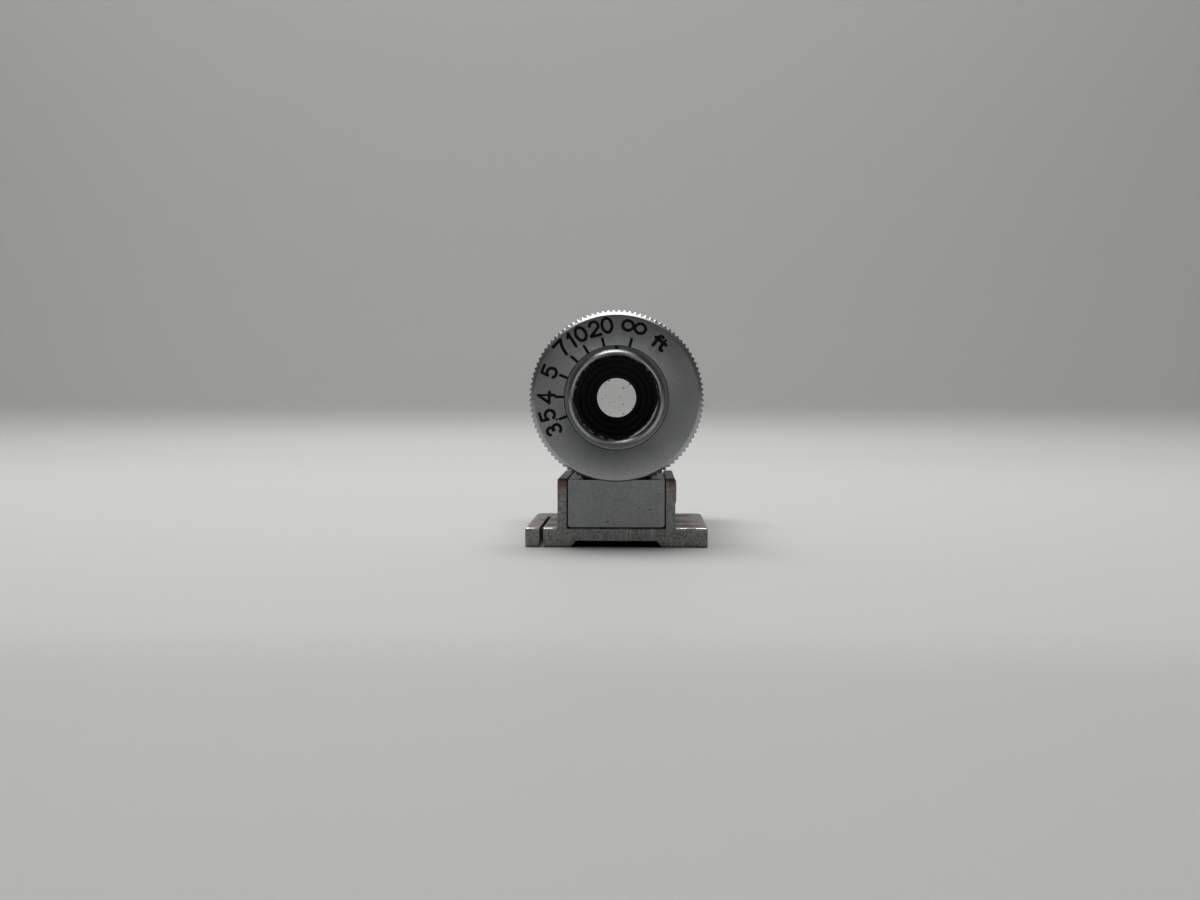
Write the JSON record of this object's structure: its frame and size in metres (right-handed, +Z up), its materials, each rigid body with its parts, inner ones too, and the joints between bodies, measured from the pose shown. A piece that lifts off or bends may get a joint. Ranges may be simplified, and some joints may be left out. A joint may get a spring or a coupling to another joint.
{
  "type": "accessory shoe viewfinder",
  "caption": "Small tubular optical viewfinder on a slide-in shoe foot, with a knurled parallax dial at the eye end that tilts the tube for near subjects.",
  "frame": {"origin": "centre of the foot's underside", "axes": "+Y along the line of sight from the eye to the subject, which is the way the foot slides into its shoe; +X to the right; +Z up"},
  "size_m": [0.0186, 0.0358, 0.0245],
  "materials": {
    "worn_nickel": "worn dull nickel plate with brown tarnish on the foot",
    "satin_chrome": "fine satin chrome plate",
    "black_lacquer": "dead matt black lacquer",
    "screw_steel": "turned and slotted, lightly polished",
    "spring_steel": "bright drawn wire and strip",
    "turned_brass": "bare turned brass, lightly greased",
    "coated_glass": "polished, faint blue coating"
  },
  "bodies": {
    "foot": {"shoe_bracket": "worn_nickel", "pivot_screws": "screw_steel", "hold_down_screw": "screw_steel", "hold_down_spring": "spring_steel"},
    "finder": {"tilt_block": "satin_chrome", "block_screws": "screw_steel", "barrel": "satin_chrome", "stop_pin": "screw_steel", "index_collar": "satin_chrome", "friction_washer": "spring_steel", "eyepiece_funnel": "black_lacquer", "eye_lens": "coated_glass", "baffle_tube": "black_lacquer", "field_mask": "black_lacquer", "objective_lens": "coated_glass", "objective_ring": "black_lacquer", "front_bell": "satin_chrome", "bell_set_screws": "screw_steel"},
    "dial": {"parallax_dial": "satin_chrome", "parallax_cam": "turned_brass", "cam_screws": "screw_steel"},
    "follower": {"cam_follower": "turned_brass"}
  },
  "joints": [
    {"name": "tilt", "type": "hinge", "parent": "foot", "child": "finder", "pos_m": [0, 0.0026, 0.0049], "axis": [-1, 0, 0], "range_deg": [-0.35, 2.65], "deforming": ["hold_down_spring"]},
    {"name": "dial_spin", "type": "hinge", "parent": "finder", "child": "dial", "pos_m": [0, -0.0075, 0.0152], "axis": [0, 1, 0], "range_deg": [-14.6, 110.6]},
    {"name": "follower_slide", "type": "slide", "parent": "finder", "child": "follower", "axis": [0, 0, -1], "range_m": [-0.0000437, 0.0003311]}
  ],
  "couplings": [
    {"joint": "tilt", "follows": "dial_spin", "ratio": 0.023962},
    {"joint": "follower_slide", "follows": "dial_spin", "m_per_rad": 0.00017148}
  ]
}
